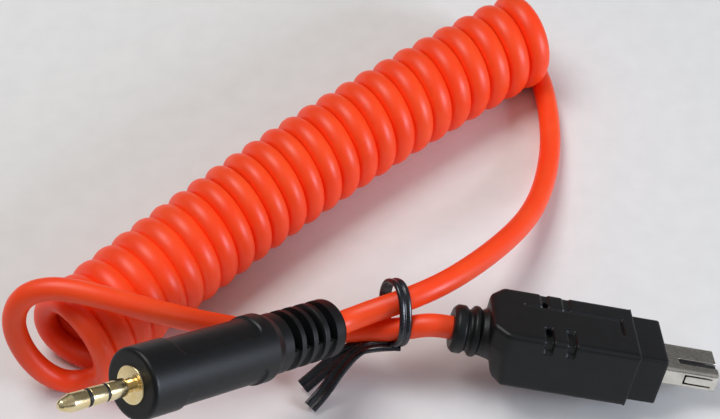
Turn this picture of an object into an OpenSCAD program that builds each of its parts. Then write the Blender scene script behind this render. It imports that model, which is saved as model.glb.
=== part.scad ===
// Coiled shutter release cord: a small three-contact jack on one end, a flat camera
// plug on the other, a stretchable coil between them and a wire tie round both tails.
// Millimetres. X right, Y away, Z up, the floor is z = 0.

/* [Cord] */
// diameter of the jacket
cord_d = 3.5; // [2.5:0.1:5]
// radius of the coil, to the middle of the cord
coil_r = 6.4; // [5:0.1:12]
// distance from turn to turn at the near end
pitch_near = 3.61; // [3.55:0.01:6]
// distance from turn to turn at the far end
pitch_far = 4.5; // [3.6:0.05:8]
// how far the coil's axis bends over its length, in degrees
coil_bend = 15; // [0:1:60]
// heading of the coil's axis at the near end, in degrees from X
coil_heading = 49.4; // [0:0.1:90]

/* [Jack plug] */
// diameter of the pin
pin_d = 2.5; // [2.5:0.05:3.5]
// length of the pin in front of its flange
pin_l = 11.2; // [10:0.05:15]
// diameter of the moulded body
jack_body_d = 9.9; // [8:0.1:12]
// length of the whole moulding, with its strain relief
jack_body_l = 36.9; // [30:0.1:45]
// diameter of the strain relief
relief_d = 8.7; // [6:0.1:10]
// length of the strain relief
relief_l = 12.6; // [10:0.1:20]
// width of one relief slot
relief_slot_w = 1.15; // [0.6:0.05:1.6]
// how deep the two grip panels are sunk
panel_depth = 0.3; // [0.1:0.05:0.6]

/* [Camera plug] */
// length of the box without its nose
box_l = 22; // [18:0.1:28]
// width of the box
box_w = 12.2; // [10:0.1:16]
// height of the box
box_h = 9.4; // [7:0.1:12]
// length of the nose
nose_l = 4.5; // [3:0.1:7]
// width of the nose
nose_w = 10.4; // [8:0.1:13]
// height of the nose
nose_h = 8; // [6:0.1:10]
// length of the steel shell in front of the nose
shell_l = 8.75; // [6:0.05:11]
// width of the steel shell
shell_w = 6.55; // [5:0.05:9]
// height of the steel shell
shell_h = 3.14; // [2:0.02:4.5]
// thickness of the shell's steel
shell_t = 0.3; // [0.2:0.02:0.5]
// gap round each latch tongue
latch_gap = 0.25; // [0.15:0.05:0.4]

/* [Wire tie] */
// width of the tie's ribbon
ribbon_w = 2; // [1.6:0.1:4]
// thickness of the ribbon
ribbon_t = 0.65; // [0.5:0.05:1]
// thickness of the two wires in the ribbon
wire_d = 0.4; // [0.3:0.05:0.6]

/* [Hidden] */
$fn = 48;

// moves the whole layout so that the plugs and the tie stand round the origin
home = [0.84, 0.44, 0];

// coil: turns, the two ends in turns, and the height of the axis with the coil lying
// on the floor, which flattens it by a tenth of the cord
turns = 24;
t_near = -0.35;
t_far = 24.46;
coil_phase = 8;
coil_z = coil_r + cord_d / 2 - cord_d / 10;
coil_x0 = -50.4 + home[0];
coil_y0 = 12.05 + home[1];
coil_steps = 8;
coil_sides = 6;
coil_rr = cord_d / 2;
// length of the coil's axis, and the radius of the arc it follows
coil_run = pitch_near * turns + (pitch_far - pitch_near) * turns / 3;
arc_r = coil_run / (coil_bend * PI / 180);

// poses of the two plugs and of the tie
jack_at = [-13.5, 9.6, 13.5] + home;
jack_turn = [0, -28, -139.3];
plug_at = [20.55, 10, 8.42] + home;
plug_turn = [-18.6, 11.1, -3.7];
tie_at = [-3.1, 12.75, 11.9] + home;
tie_turn = [54.6, -18.3, 3.7];
relief2_l = 5.1;

jack_dir = aim(jack_turn);
plug_dir = aim(plug_turn);
plug_entry = plug_at - (box_l / 2 + relief2_l) * plug_dir;

// route of the tail from the coil's far end to the jack
jack_route = concat([coil_c(t_far), coil_c(t_far) + 1.5 * coil_dir(t_far)],
  placed([[22.6, 73, 1.9], [23.7, 67, 1.8], [23.9, 58, 2], [23, 51, 2.4], [21.3, 44, 3.5],
    [18.6, 37, 5.4], [14.3, 29.8, 8.4], [9.2, 23, 11.4], [3.6, 17.2, 13.6], [-2.2, 14, 14],
    [-7, 13.2, 12.5]]),
  [jack_at - 3.5 * jack_dir, jack_at]);
// route of the tail from the coil's near end to the camera plug
camera_route = concat([coil_c(t_near), coil_c(t_near) - 1.2 * coil_dir(t_near)],
  placed([[-48.9, 7.9, 2.5], [-51.3, 7.9, 1.6], [-54.1, 7.9, 2.1], [-56.8, 8.3, 5.3], [-58.6, 9.5, 9.1],
    [-59.4, 11, 13.6], [-57.2, 12.3, 18.1], [-52.5, 12.3, 19.9], [-46.5, 11.1, 19.4],
    [-40, 10.2, 17.5], [-34, 10.6, 14.3], [-28.6, 11.4, 11.2], [-23.2, 12.2, 8.6],
    [-17.6, 13.1, 6.8], [-12, 13.5, 7], [-7, 12.6, 8.4], [-2.4, 11.5, 10.3]]),
  [plug_entry - 3.5 * plug_dir, plug_entry]);

// ---------- functions ----------
function aim(a) = [cos(a[1]) * cos(a[2]), cos(a[1]) * sin(a[2]), -sin(a[1])];
function unit(v) = v / norm(v);
function placed(l) = [for (p = l) p + home];
// length along the coil's axis at turn t, and its heading there
function run(t) = pitch_near * t + (pitch_far - pitch_near) * pow(max(t, 0), 3) / (3 * turns * turns);
function heading(s) = coil_heading - coil_bend * s / coil_run;
// the axis is an arc, so its points have a closed form
function axis_p(s) = [coil_x0 + arc_r * (sin(coil_heading) - sin(heading(s))),
  coil_y0 + arc_r * (cos(heading(s)) - cos(coil_heading)), coil_z];
function side(s) = [sin(heading(s)), -cos(heading(s)), 0];
function radial(t) = let (f = 360 * t + coil_phase, w = side(run(t)))
  [-sin(f) * w[0], -sin(f) * w[1], cos(f)];
function coil_c(t) = axis_p(run(t)) + coil_r * radial(t);
function coil_dir(t) = unit(coil_c(t + 0.004) - coil_c(t - 0.004));
// uniform cubic spline through a route's control points, with straight ends
function spl(a, b, c, d, t) = (pow(1 - t, 3) * a + (3 * pow(t, 3) - 6 * t * t + 4) * b
  + (-3 * pow(t, 3) + 3 * t * t + 3 * t + 1) * c + pow(t, 3) * d) / 6;
function padded(p) = concat([2 * p[0] - p[1]], p, [2 * p[len(p) - 1] - p[len(p) - 2]]);
function curve(p, n) = let (q = padded(p)) concat([for (i = [0 : len(p) - 2]) for (k = [0 : n - 1])
  spl(q[i], q[i + 1], q[i + 2], q[i + 3], k / n)], [p[len(p) - 1]]);
function dirs(p) = [for (i = [0 : len(p) - 1]) unit(p[min(i + 1, len(p) - 1)] - p[max(i - 1, 0)])];
// frames carried along a curve without twist
function carry(d, u, i = 0, out = []) = i == len(d) ? out :
  let (w = unit(u - (u * d[i]) * d[i])) carry(d, w, i + 1, concat(out, [w]));
function len_of(p) = norm_sum(p, 0, 0);
function norm_sum(p, i, s) = i == len(p) - 1 ? s : norm_sum(p, i + 1, s + norm(p[i + 1] - p[i]));
function on_floor(v) = [v[0], v[1], max(v[2], 0)];
function ring_pts(c, u, w, r, n) = [for (k = [0 : n - 1])
  on_floor(c + r * (cos(360 * k / n) * u + sin(360 * k / n) * w))];
function skin_faces(m, n) = concat([for (i = [0 : m - 2]) for (k = [0 : n - 1])
  [i * n + k, (i + 1) * n + k, (i + 1) * n + (k + 1) % n]],
  [for (i = [0 : m - 2]) for (k = [0 : n - 1])
  [i * n + k, (i + 1) * n + (k + 1) % n, i * n + (k + 1) % n]],
  [[for (k = [0 : n - 1]) k]], [[for (k = [n - 1 : -1 : 0]) (m - 1) * n + k]]);

// the coil's rings: flats face the next turn
coil_t = concat([for (i = [0 : round((t_far - t_near) * coil_steps) - 1])
  t_near + i / coil_steps], [t_far]);
coil_rings = [for (t = coil_t) let (d = coil_dir(t), u = radial(t), w = unit(cross(d, u)))
  ring_pts(coil_c(t), unit(cross(w, d)), w, coil_rr, coil_sides)];
// least gap between one turn's points and the next turn's
turn_gaps = [for (i = [0 : len(coil_rings) - coil_steps - 2]) for (a = coil_rings[i])
  min([for (b = coil_rings[i + coil_steps]) norm(a - b)])];
echo("least gap from turn to turn, point to point", min(turn_gaps));
echo("jack tail length", len_of(curve(jack_route, 6)), "camera tail length", len_of(curve(camera_route, 6)));

module tube(p, r, n, up) {
  d = dirs(p);
  u = carry(d, up);
  pts = [for (i = [0 : len(p) - 1]) each ring_pts(p[i], u[i], cross(d[i], u[i]), r, n)];
  polyhedron(points = pts, faces = skin_faces(len(p), n), convexity = 6);
}
// local x runs to the front of each plug
module on_jack() {
  translate(jack_at) rotate(jack_turn) rotate([0, 90, 0]) children();
}
module on_plug() {
  translate(plug_at) rotate(plug_turn) children();
}
module on_tie() {
  translate(tie_at) rotate(tie_turn) children();
}

// ---------- jack plug, turned about its own z, which runs from the cord to the tip ----------
flange_z = jack_body_l + 0.6;
pin_z = flange_z + pin_l;
pr = pin_d / 2;
ins_l = 0.45;
tip_z = pin_z - 4.7;
ring_z = tip_z - ins_l - 2.3;
sleeve_z = ring_z - ins_l;

// the sleeve's seat, and the inner mould behind it
seat_z = jack_body_l - 2.5;
core_z = jack_body_l - 18.7;
core_l = 17;
core_d = jack_body_d - 3.5;
wire_at = [[0, 0.85], [1.2, 0], [0, -1.1]];
wire_to = [seat_z - 4.7, seat_z - 3.7, seat_z - 1.7];

module jack_tip() {
  color([0.86, 0.74, 0.45]) on_jack() rotate_extrude($fn = 40) polygon([[0, seat_z - 4], [0.35, seat_z - 4],
    [0.35, tip_z], [pr, tip_z], [pr, tip_z + 2.3], [pr - 0.22, tip_z + 2.7], [pr - 0.22, tip_z + 2.95],
    [pr - 0.1, tip_z + 3.2], [0.5, pin_z - 0.2], [0.24, pin_z], [0, pin_z]]);
}
module jack_insulator_front() {
  color([0.06, 0.06, 0.07]) on_jack() rotate_extrude($fn = 40) polygon([[0.35, seat_z - 2.8],
    [0.5, seat_z - 2.8], [0.5, tip_z - ins_l], [pr, tip_z - ins_l], [pr, tip_z], [0.35, tip_z]]);
}
module jack_ring() {
  color([0.86, 0.74, 0.45]) on_jack() rotate_extrude($fn = 40) polygon([[0.5, seat_z - 1.8],
    [0.7, seat_z - 1.8], [0.7, ring_z], [pr, ring_z], [pr, tip_z - ins_l], [0.5, tip_z - ins_l]]);
}
module jack_insulator_rear() {
  color([0.06, 0.06, 0.07]) on_jack() rotate_extrude($fn = 40) polygon([[0.7, seat_z - 0.8],
    [0.85, seat_z - 0.8], [0.85, sleeve_z], [pr, sleeve_z], [pr, ring_z], [0.7, ring_z]]);
}
module jack_sleeve() {
  color([0.86, 0.74, 0.45]) on_jack() rotate_extrude($fn = 40) polygon([[0.85, seat_z], [2, seat_z],
    [2, jack_body_l], [2.65, jack_body_l], [2.65, flange_z], [pr - 0.22, flange_z],
    [pr - 0.22, flange_z + 0.4], [pr, flange_z + 0.4], [pr, sleeve_z], [0.85, sleeve_z]]);
}
// three tags at the back of the three contacts
module jack_solder_tags() {
  color([0.75, 0.73, 0.68]) on_jack() {
    translate([-0.3, 0.35, seat_z - 6.8]) cube([0.6, 0.25, 4]);
    translate([0.7, -0.3, seat_z - 5.6]) cube([0.25, 0.6, 4.8]);
    translate([-0.5, -1.6, seat_z - 4.2]) cube([1, 0.25, 4.2]);
  }
}
module jack_conductors() {
  color([0.55, 0.3, 0.15]) on_jack() for (k = [0 : 2]) translate([wire_at[k][0], wire_at[k][1], 0])
    cylinder(d = 0.5, h = wire_to[k], $fn = 16);
}
module jack_pre_mould() {
  color([0.82, 0.82, 0.8]) on_jack() difference() {
    union() {
      translate([0, 0, core_z]) cylinder(d = core_d, h = core_l);
      translate([0, 0, core_z - 1]) cylinder(d = core_d - 2, h = 1.2);
    }
    translate([0, 0, seat_z]) cylinder(r = 2, h = 3);
    translate([0, 0, seat_z - 8.2]) cylinder(r = 1.9, h = 8.3);
    for (w = wire_at) translate([w[0], w[1], core_z - 2]) cylinder(d = 0.52, h = seat_z - core_z - 4.4, $fn = 16);
  }
}
// one sunk panel on each side of the mould line
module panel_cut() {
  rotate([0, 0, -62]) rotate_extrude(angle = 124, $fn = 60) translate([jack_body_d / 2 - panel_depth, relief_l + 3.4])
    square([2, jack_body_l - relief_l - 9.5]);
}
module relief_cut() {
  rotate([0, 0, -58]) rotate_extrude(angle = 116, $fn = 60) translate([relief_d / 2 - 1.65, -relief_slot_w / 2])
    square([4, relief_slot_w]);
}
module jack_overmould() {
  br = jack_body_d / 2;
  rr = relief_d / 2;
  color([0.07, 0.07, 0.08]) on_jack() difference() {
    rotate_extrude($fn = 72) polygon([[0, 0], [rr - 0.5, 0], [rr, 0.5], [rr + 0.05, 3], [rr, relief_l],
      [br - 0.1, relief_l + 1.3], [br, relief_l + 2], [br - 0.05, jack_body_l - 0.7],
      [br - 0.7, jack_body_l], [0, jack_body_l]]);
    for (a = [0, 180]) {
      rotate([0, 0, a + 46]) panel_cut();
      for (k = [0 : 4]) translate([0, 0, relief_l * (0.16 + 0.165 * k)]) rotate([0, 0, a + 50]) relief_cut();
    }
    translate([0, 0, core_z - 1]) cylinder(d = core_d - 2, h = 1.2);
    translate([0, 0, core_z]) cylinder(d = core_d, h = core_l);
    translate([0, 0, seat_z - 0.2]) cylinder(r = 2, h = 4);
    translate([0, 0, -1]) cylinder(r = 1.5, h = core_z + 0.5);
  }
}

// ---------- cord ----------
module coil() {
  color([0.93, 0.16, 0.05]) polyhedron(points = [for (r = coil_rings) each r],
    faces = skin_faces(len(coil_rings), coil_sides), convexity = 20);
}
module jack_tail() {
  color([0.93, 0.16, 0.05]) tube(curve(jack_route, 3), cord_d / 2, 8, [0, 0, 1]);
}
module camera_tail() {
  color([0.93, 0.16, 0.05]) tube(curve(camera_route, 3), cord_d / 2, 8, [0.3, 1, 0.2]);
}

// ---------- camera plug, local x to the front, z up ----------
front_x = box_l / 2;
nose_x = front_x + nose_l;
shell_x = nose_x + shell_l;
shell_back = front_x - 5;
latch_l = shell_l - 4.75;
latch_w = 1.2;
latch_front = shell_x - 0.9;
slot_w = 1.05;
slot_y = -0.95;
// the inner block that holds the soldered end of the shell
inner_x = front_x - 14;
inner_l = 15;
inner_w = box_w - 4.6;
inner_h = box_h - 3.8;

module latch_cut() {
  cx = latch_front - latch_l - latch_gap;
  translate([cx, -1, -latch_w / 2 - latch_gap]) cube([latch_l + latch_gap + 0.05, 2, latch_w + 2 * latch_gap]);
}
module plug_shell() {
  color([0.78, 0.76, 0.7]) on_plug() difference() {
    translate([shell_back, -shell_w / 2, -shell_h / 2]) cube([shell_x - shell_back, shell_w, shell_h]);
    translate([shell_back - 1, -shell_w / 2 + shell_t, -shell_h / 2 + shell_t])
      cube([30, shell_w - 2 * shell_t, shell_h - 2 * shell_t]);
    translate([nose_x + 2.8, slot_y - slot_w / 2, 0]) cube([20, slot_w, 5]);
    for (y = [-1, 1]) translate([0, y * shell_w / 2, 0]) latch_cut();
  }
}
// the two spring tongues of the shell, each rooted at its front end
module latch_near() {
  color([0.8, 0.78, 0.72]) on_plug() translate([latch_front - latch_l, -shell_w / 2, -latch_w / 2])
    cube([latch_l, shell_t, latch_w]);
}
module latch_far() {
  color([0.8, 0.78, 0.72]) on_plug() translate([latch_front - latch_l, shell_w / 2 - shell_t, -latch_w / 2])
    cube([latch_l, shell_t, latch_w]);
}
block_w = 4.6;
module contact_block() {
  color([0.05, 0.05, 0.06]) on_plug() difference() {
    union() {
      translate([shell_back, -shell_w / 2 + shell_t, -shell_h / 2 + shell_t])
        cube([nose_x - 0.4 - shell_back, shell_w - 2 * shell_t, shell_h - 2 * shell_t]);
      translate([nose_x - 1, -block_w / 2, -0.75]) cube([shell_l - 0.2, block_w, 1.0]);
    }
    for (k = [-2 : 2]) translate([shell_back - 1, k * 0.85 - 0.2, 0.05]) cube([30, 0.4, 0.3]);
  }
}
module contacts() {
  color([0.85, 0.7, 0.35]) on_plug() for (k = [-2 : 2])
    translate([shell_back - 1.2, k * 0.85 - 0.2, 0.05]) cube([nose_x + shell_l - 2 - shell_back, 0.4, 0.2]);
}
module connector_pre_mould() {
  color([0.82, 0.82, 0.8]) on_plug() difference() {
    translate([inner_x, -inner_w / 2, -inner_h / 2]) cube([inner_l, inner_w, inner_h]);
    translate([shell_back, -shell_w / 2, -shell_h / 2]) cube([inner_l + 5, shell_w, shell_h]);
    translate([shell_back - 6, -shell_w / 2 + 0.37, -shell_h / 2 + 0.37]) cube([7, shell_w - 0.74, shell_h - 0.74]);
    for (k = [-1 : 1]) translate([inner_x - 1, k * 1.1, 0]) rotate([0, 90, 0]) cylinder(d = 0.62, h = 5, $fn = 16);
  }
}
module connector_conductors() {
  color([0.55, 0.3, 0.15]) on_plug() for (k = [-1 : 1]) translate([-box_l / 2 - relief2_l, k * 1.1, 0])
    rotate([0, 90, 0]) cylinder(d = 0.6, h = box_l / 2 + relief2_l + shell_back - 1.2, $fn = 16);
}
// one grip groove, sunk across a long edge of the top face, with a small moulding hole at its inner end
groove_w = 1.35;
groove_x = [-2.65, 0.7];
module grip_cut(x, y) {
  translate([x - groove_w / 2, y * (box_w / 2 - 0.1), box_h / 2 + 2.6]) rotate([0, 90, 0])
    cylinder(r = 4.6, h = groove_w, $fn = 72);
}
module connector_housing() {
  c = 2.2;
  color([0.05, 0.05, 0.055]) on_plug() difference() {
    union() {
      translate([0, 0, -box_h / 2]) linear_extrude(box_h) polygon([[-box_l / 2, -box_w / 2 + c],
        [-box_l / 2 + c, -box_w / 2], [front_x, -box_w / 2], [front_x, box_w / 2],
        [-box_l / 2 + c, box_w / 2], [-box_l / 2, box_w / 2 - c]]);
      translate([0, -nose_w / 2, -nose_h / 2]) cube([nose_x, nose_w, nose_h]);
      translate([-box_l / 2, 0, 0]) rotate([0, -90, 0]) rotate_extrude($fn = 48) polygon([[0, -1],
        [3.8, -1], [3.8, 0.3], [3.3, 0.75], [3.75, 1.4], [3.75, 1.9], [3.1, 2.4], [3.1, 2.8],
        [3.6, 3.3], [3.6, 4.4], [3.1, relief2_l], [0, relief2_l]]);
    }
    // sunk line in the top face, the two grip grooves on each long edge and their holes
    translate([-front_x + 5.3, box_w / 2 - 3.75, box_h / 2 - 0.2]) cube([box_l - 7.3, 0.3, 1]);
    translate([front_x - 2.3, -1.2, box_h / 2 - 0.2]) cube([0.3, box_w / 2 - 2.3, 1]);
    for (x = groove_x) for (y = [-1, 1]) grip_cut(x, y);
    for (y = [-1, 1]) translate([groove_x[0], y * (box_w / 2 - 2.9), box_h / 2 - 1.6]) cylinder(d = 0.9, h = 3, $fn = 24);
    // seats for the inner block and the shell
    translate([inner_x, -inner_w / 2, -inner_h / 2]) cube([inner_l, inner_w, inner_h]);
    translate([shell_back, -shell_w / 2, -shell_h / 2]) cube([inner_l + 5, shell_w, shell_h]);
    translate([-box_l / 2 - 9, 0, 0]) rotate([0, 90, 0]) cylinder(r = 1.5, h = inner_x + 1 + box_l / 2 + 9, $fn = 32);
  }
}

// ---------- wire tie ----------
tie_gap = 4;
tie_r = cord_d / 2 + 0.45;
ridge_h = ribbon_t / 3;
module stadium(r) {
  for (y = [-1, 1]) translate([0, y * tie_gap / 2]) circle(r = r, $fn = 48);
  square([2 * r, tie_gap], center = true);
}
module tie_band(r0, r1, w) {
  rotate([0, 90, 0]) translate([0, 0, -w / 2]) linear_extrude(w) difference() {
    stadium(r1);
    stadium(r0);
  }
}
// both wires of the ribbon, one under each ridge
module wires_in_loop() {
  for (x = [-1, 1]) translate([x * ribbon_w / 4, 0, 0]) tie_band(tie_r + 0.12, tie_r + 0.12 + wire_d, wire_d);
}
// the two ends are twisted under the loop, fall to the floor and part there like a fork
twist_route = placed([[-1.8, 9.8, 7.9], [-5.2, 9.5, 8.3], [-8.4, 9.6, 8.3], [-10.5, 8.6, 5.9],
  [-12.4, 7.5, 3.4], [-14.2, 6.5, 1.6], [-15.8, 6.6, 0.8], [-17.2, 7.3, 0.6]]);
fork_route = placed([[-12.4, 7.5, 3.4], [-14.0, 6.4, 1.6], [-15.4, 5.2, 0.8], [-16.6, 3.7, 0.6]]);
module ribbon(p, w0, w1, t, lean) {
  d = dirs(p);
  n = len(p);
  q = [for (i = [0 : n - 1]) let (a = lean[0] + (lean[1] - lean[0]) * i / (n - 1),
    s = unit(cross([0, 0, 1], d[i])), v = cross(d[i], s)) cos(a) * s + sin(a) * v];
  z = [for (i = [0 : n - 1]) cross(d[i], q[i])];
  hw = [for (i = [0 : n - 1]) (w0 + (w1 - w0) * i / (n - 1)) / 2];
  pts = [for (i = [0 : n - 1]) each [for (c = [[1, 1], [-1, 1], [-1, -1], [1, -1]])
    on_floor(p[i] + c[0] * hw[i] * q[i] + c[1] * t / 2 * z[i])]];
  polyhedron(points = pts, faces = skin_faces(n, 4), convexity = 4);
}
module tie_loop() {
  color([0.06, 0.07, 0.1]) difference() {
    union() {
      on_tie() tie_band(tie_r, tie_r + ribbon_t, ribbon_w);
      on_tie() for (x = [-1, 1]) translate([x * ribbon_w / 4, 0, 0])
        tie_band(tie_r, tie_r + ribbon_t + ridge_h, ribbon_w * 0.35);
      ribbon(curve(twist_route, 3), 2.2, 2.4, 0.8, [36, 20]);
      ribbon(curve(fork_route, 3), 1.6, 2.4, 0.7, [0, 10]);
    }
    on_tie() wires_in_loop();
  }
}
module tie_wire() {
  color([0.6, 0.6, 0.62]) on_tie() wires_in_loop();
}

jack_tip();
jack_insulator_front();
jack_ring();
jack_insulator_rear();
jack_sleeve();
jack_solder_tags();
jack_pre_mould();
jack_overmould();
jack_conductors();
coil();
jack_tail();
camera_tail();
plug_shell();
latch_near();
latch_far();
contact_block();
contacts();
connector_pre_mould();
connector_housing();
connector_conductors();
tie_loop();
tie_wire();
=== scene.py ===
"""Looks for a coiled shutter release cord: jack plug, coil, camera plug and wire tie.

Sizes are written in millimetres and turned to metres when a mesh is made.
Each plug has its own frame: x runs to its front, y and z across it.
"""

import math

import bmesh
import bpy
import numpy as np
from mathutils import Matrix, Vector


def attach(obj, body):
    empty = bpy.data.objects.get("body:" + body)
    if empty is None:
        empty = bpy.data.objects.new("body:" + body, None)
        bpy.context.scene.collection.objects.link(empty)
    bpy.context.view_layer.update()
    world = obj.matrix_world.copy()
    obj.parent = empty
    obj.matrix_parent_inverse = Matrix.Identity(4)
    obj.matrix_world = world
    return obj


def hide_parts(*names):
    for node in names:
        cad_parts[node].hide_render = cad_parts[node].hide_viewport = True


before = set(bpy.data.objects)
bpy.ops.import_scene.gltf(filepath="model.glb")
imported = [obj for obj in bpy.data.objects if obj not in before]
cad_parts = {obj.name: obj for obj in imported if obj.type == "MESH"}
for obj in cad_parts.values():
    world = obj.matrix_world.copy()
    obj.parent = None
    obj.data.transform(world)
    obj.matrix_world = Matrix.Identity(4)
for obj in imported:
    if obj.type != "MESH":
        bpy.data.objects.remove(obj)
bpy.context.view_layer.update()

MM = 0.001
MAIN_BODY = "cord_and_plugs"
HOME = np.array([0.84, 0.44, 0.0])


def turned(rx, ry, rz):
    """Rotation about x, then y, then z, in degrees, as a 3x3 array whose columns are the local axes."""
    rx, ry, rz = (math.radians(a) for a in (rx, ry, rz))
    about_x = np.array([[1, 0, 0], [0, math.cos(rx), -math.sin(rx)], [0, math.sin(rx), math.cos(rx)]])
    about_y = np.array([[math.cos(ry), 0, math.sin(ry)], [0, 1, 0], [-math.sin(ry), 0, math.cos(ry)]])
    about_z = np.array([[math.cos(rz), -math.sin(rz), 0], [math.sin(rz), math.cos(rz), 0], [0, 0, 1]])
    return about_z @ about_y @ about_x


def unit(v):
    return np.asarray(v, float) / np.linalg.norm(v)


JACK_AT, JACK = np.array([-13.5, 9.6, 13.5]) + HOME, turned(0, -28, -139.3)
PLUG_AT, PLUG = np.array([20.55, 10, 8.42]) + HOME, turned(-18.6, 11.1, -3.7)

# ---------------------------------------------------------------- camera
CAMERA_LENS = 81.5
CAMERA_AT = (-8.6 + HOME[0], -127.6 + HOME[1], 208.3)
CAMERA_DOWN = 50.7  # degrees below level

camera = bpy.data.objects.new("camera", bpy.data.cameras.new("camera"))
bpy.context.collection.objects.link(camera)
camera.data.lens, camera.data.sensor_width = CAMERA_LENS, 36
camera.data.clip_start, camera.data.clip_end = 0.005, 20
camera.location = [c * MM for c in CAMERA_AT]
camera.rotation_euler = (math.radians(90 - CAMERA_DOWN), 0, 0)
bpy.context.scene.camera = camera

# ---------------------------------------------------------------- finishes


def linear(hex_colour, alpha=1.0):
    """An sRGB hex colour as linear RGBA."""
    parts = [int(hex_colour[i : i + 2], 16) / 255 for i in (1, 3, 5)]
    return [c / 12.92 if c <= 0.04045 else ((c + 0.055) / 1.055) ** 2.4 for c in parts] + [alpha]


def add(tree, kind, inputs=None, **settings):
    """Adds a shader node. inputs maps socket names or numbers to values or to another node's output."""
    node = tree.nodes.new("ShaderNode" + kind)
    for key, value in settings.items():
        setattr(node, key, value)
    for key, value in (inputs or {}).items():
        if isinstance(value, bpy.types.NodeSocket):
            tree.links.new(value, node.inputs[key])
        else:
            node.inputs[key].default_value = value
    return node


def finish_start(name, sockets):
    """An empty material with a Principled shader whose constant values are set on its own sockets."""
    material = bpy.data.materials.new(name)
    material.use_nodes = True
    tree = material.node_tree
    shader = tree.nodes["Principled BSDF"]
    for key, value in sockets.items():
        shader.inputs[key].default_value = value
    return material, tree, shader


def spots(tree, size_mm, detail=2.0, roughness=0.5, stretch=None):
    """Noise whose grains are about size_mm across, in the object's own metres; stretch is a Mapping scale."""
    where = add(tree, "TexCoord").outputs["Object"]
    if stretch:
        where = add(tree, "Mapping", {"Vector": where, "Scale": stretch[0], "Rotation": stretch[1]}).outputs[0]
    return add(
        tree, "TexNoise", {"Vector": where, "Scale": 1 / (size_mm * MM), "Detail": detail, "Roughness": roughness}
    ).outputs["Fac"]


def tinted(tree, factor, low, high, stops=(0.3, 0.7)):
    """Colour that runs from low to high with the factor."""
    ramp = add(tree, "ValToRGB", {"Fac": factor})
    for element, stop, colour in zip(ramp.color_ramp.elements, stops, (low, high)):
        element.position, element.color = stop, linear(colour)
    return ramp.outputs["Color"]


def between(tree, factor, low, high):
    return add(tree, "MapRange", {"Value": factor, "To Min": low, "To Max": high}).outputs["Result"]


def relief(tree, shader, height, depth_mm):
    """Bump of a real depth in millimetres."""
    bump = add(tree, "Bump", {"Height": height, "Distance": depth_mm * MM, "Strength": 1.0})
    tree.links.new(bump.outputs["Normal"], shader.inputs["Normal"])


def polyurethane_jacket():
    """Extruded polyurethane: saturated red-orange, satin, light sinks a little way in at the edges."""
    material, tree, shader = finish_start(
        "polyurethane_jacket",
        {"IOR": 1.49, "Subsurface Weight": 0.15, "Subsurface Scale": 1.2 * MM, "Specular IOR Level": 0.45},
    )
    shader.inputs["Subsurface Radius"].default_value = (1.0, 0.22, 0.1)
    tint = tinted(tree, spots(tree, 6.0), "#FF4210", "#FF4E1A")
    tree.links.new(tint, shader.inputs["Base Color"])
    tree.links.new(between(tree, spots(tree, 1.4), 0.36, 0.48), shader.inputs["Roughness"])
    relief(tree, shader, spots(tree, 0.5, 3.0), 0.012)
    return material


def pvc_moulding():
    """Moulded soft PVC: near black with a cool satin sheen and the fine grain of a spark-eroded mould."""
    material, tree, shader = finish_start("pvc_moulding", {"IOR": 1.53, "Specular IOR Level": 0.34})
    tint = tinted(tree, spots(tree, 2.5, 4.0), "#060708", "#0C0D0F")
    tree.links.new(tint, shader.inputs["Base Color"])
    tree.links.new(between(tree, spots(tree, 0.8, 4.0), 0.38, 0.5), shader.inputs["Roughness"])
    relief(tree, shader, spots(tree, 0.3, 3.0), 0.016)
    return material


def gold_plating():
    """Thin hard gold over nickel on turned brass: pale, bright, with faint turning marks."""
    material, tree, shader = finish_start("gold_plating", {"Metallic": 1.0})
    tint = tinted(tree, spots(tree, 1.5), "#F0D69A", "#F8E6BC")
    tree.links.new(tint, shader.inputs["Base Color"])
    tree.links.new(between(tree, spots(tree, 0.5, 4.0), 0.14, 0.28), shader.inputs["Roughness"])
    relief(tree, shader, spots(tree, 0.12, 2.0), 0.003)
    return material


def nickel_plated_sheet():
    """Stamped steel sheet, nickel plated: bright, slightly warm, rolled along the plug."""
    material, tree, shader = finish_start("nickel_plated_sheet", {"Metallic": 1.0})
    along = ((0.08, 1.0, 1.0), (0, 0, math.radians(3.7)))
    tint = tinted(tree, spots(tree, 2.0), "#CFCAC0", "#E6E2DA")
    tree.links.new(tint, shader.inputs["Base Color"])
    tree.links.new(between(tree, spots(tree, 0.2, 3.0, stretch=along), 0.16, 0.34), shader.inputs["Roughness"])
    relief(tree, shader, spots(tree, 0.15, 2.0, stretch=along), 0.002)
    return material


def glass_filled_nylon():
    """Black moulded insulator: dull, slightly speckled by its glass fibres."""
    material, tree, shader = finish_start("glass_filled_nylon", {"IOR": 1.53})
    tree.links.new(tinted(tree, spots(tree, 0.3, 4.0), "#0D0D0E", "#1B1B1C"), shader.inputs["Base Color"])
    tree.links.new(between(tree, spots(tree, 0.4), 0.42, 0.6), shader.inputs["Roughness"])
    relief(tree, shader, spots(tree, 0.1), 0.004)
    return material


def inner_polyethylene():
    """Milky inner mould that holds the soldered ends: waxy, slightly translucent."""
    material, tree, shader = finish_start(
        "inner_polyethylene", {"IOR": 1.5, "Subsurface Weight": 0.3, "Subsurface Scale": 1.0 * MM}
    )
    tree.links.new(tinted(tree, spots(tree, 3.0), "#D3D0C2", "#E2DFD3"), shader.inputs["Base Color"])
    tree.links.new(between(tree, spots(tree, 0.8), 0.4, 0.55), shader.inputs["Roughness"])
    return material


def copper_strand():
    """Bare drawn copper: warm metal with fine lines along the strand."""
    material, tree, shader = finish_start("copper_strand", {"Metallic": 1.0})
    tree.links.new(tinted(tree, spots(tree, 0.4, 3.0), "#B86B42", "#D98C5F"), shader.inputs["Base Color"])
    tree.links.new(between(tree, spots(tree, 0.2), 0.25, 0.42), shader.inputs["Roughness"])
    return material


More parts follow.
